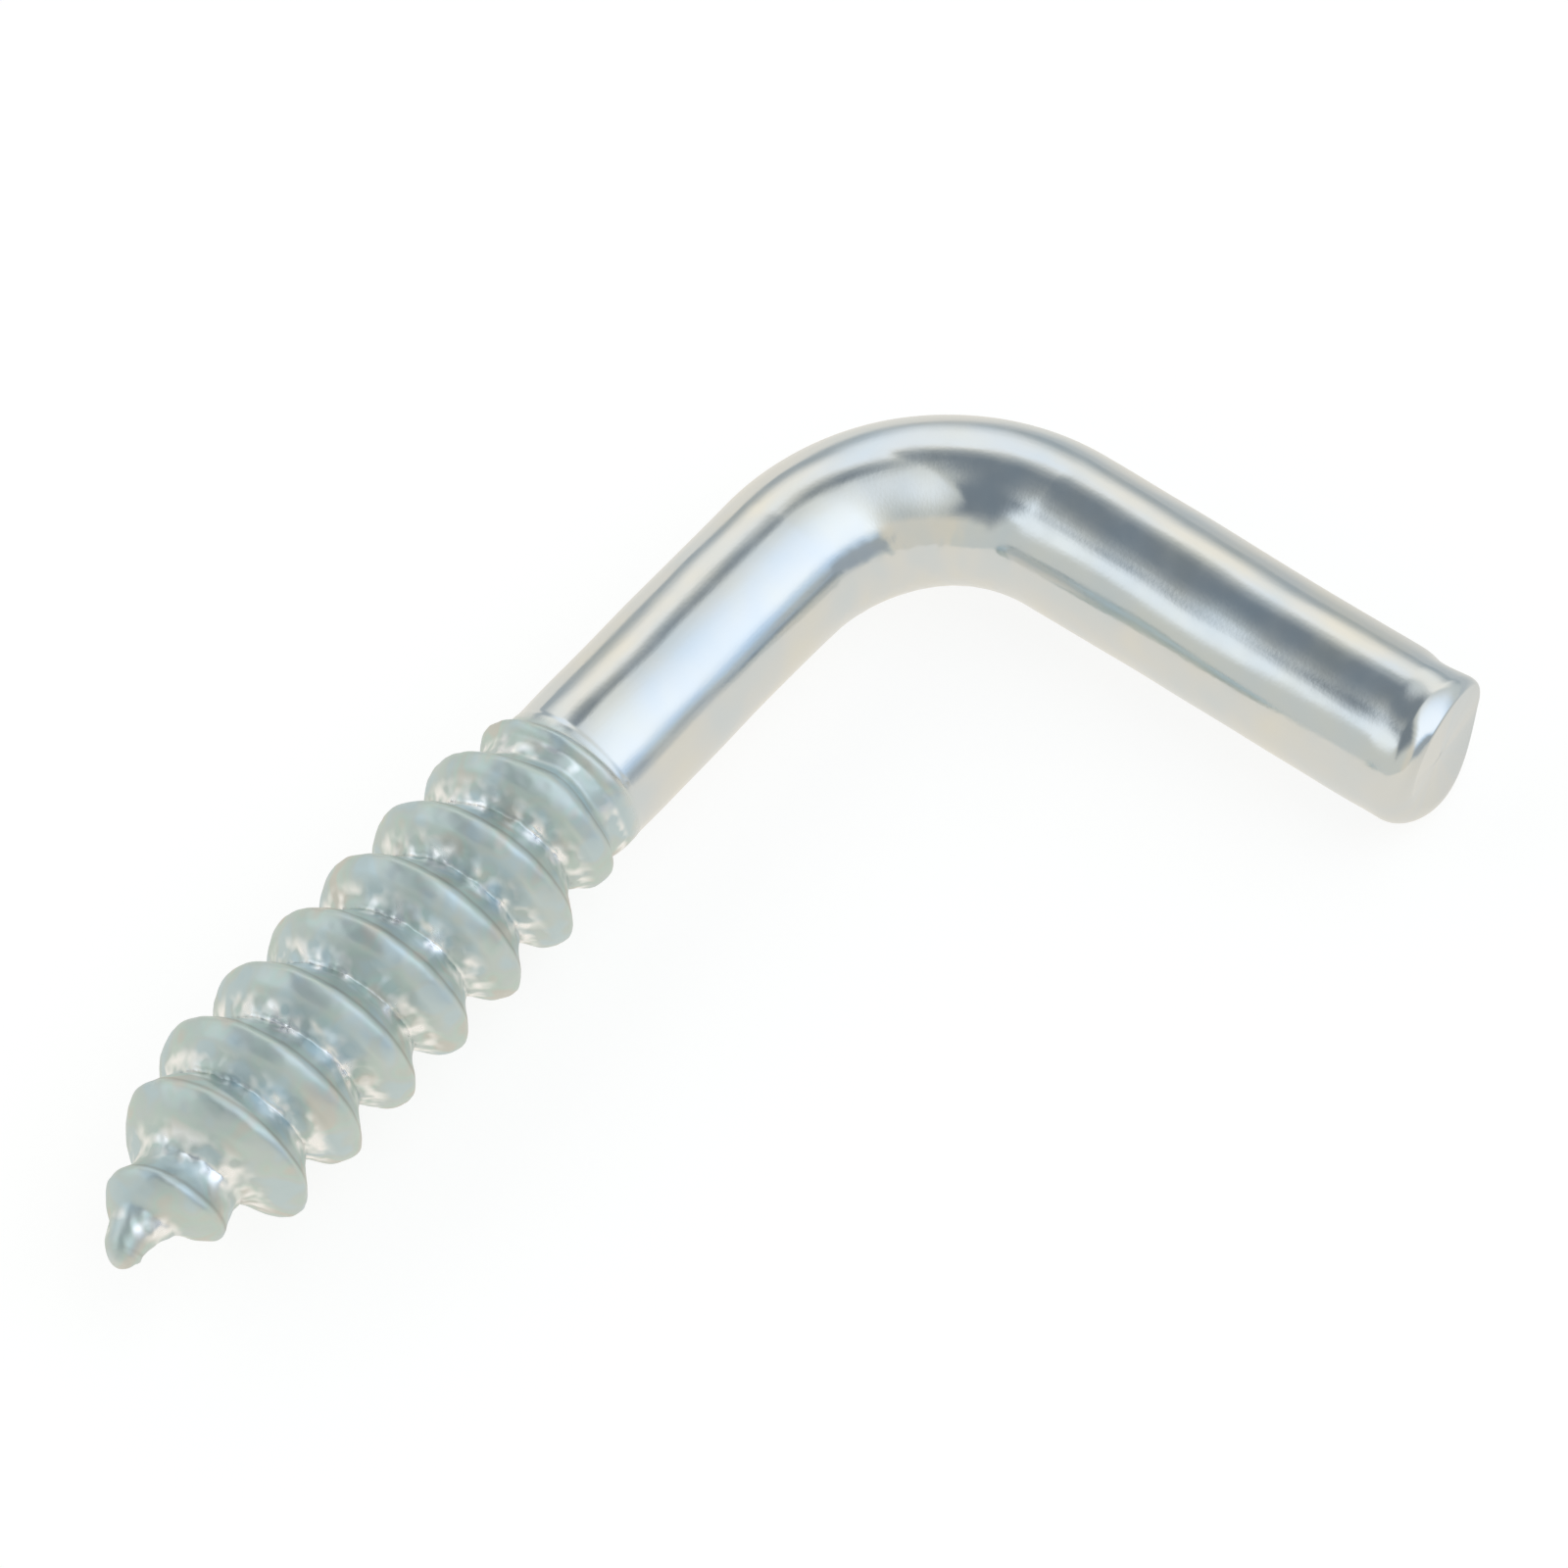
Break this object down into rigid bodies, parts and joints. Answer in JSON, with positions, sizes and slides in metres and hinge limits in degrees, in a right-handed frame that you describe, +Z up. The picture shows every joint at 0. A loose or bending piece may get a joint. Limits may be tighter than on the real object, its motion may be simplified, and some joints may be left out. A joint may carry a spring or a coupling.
{
  "type": "square screw hook",
  "caption": "Right-angle wire hook with a coarse wood-screw thread and gimlet point on one leg, and a straight sheared arm to hang things on.",
  "frame": {"origin": "on the floor, below the middle of the bounding box of the hook as it lies", "axes": "+Z up; the shank runs along X with its point towards -X, raised by about 2 degrees on the thread; the arm is level and runs from the bend towards -Y"},
  "size_m": [0.0318, 0.0192, 0.0054],
  "materials": {
    "zinc_plated_steel": "bright zinc plating with a clear blue passivation"
  },
  "bodies": {
    "root": {"screw_hook": "zinc_plated_steel"}
  },
  "joints": []
}
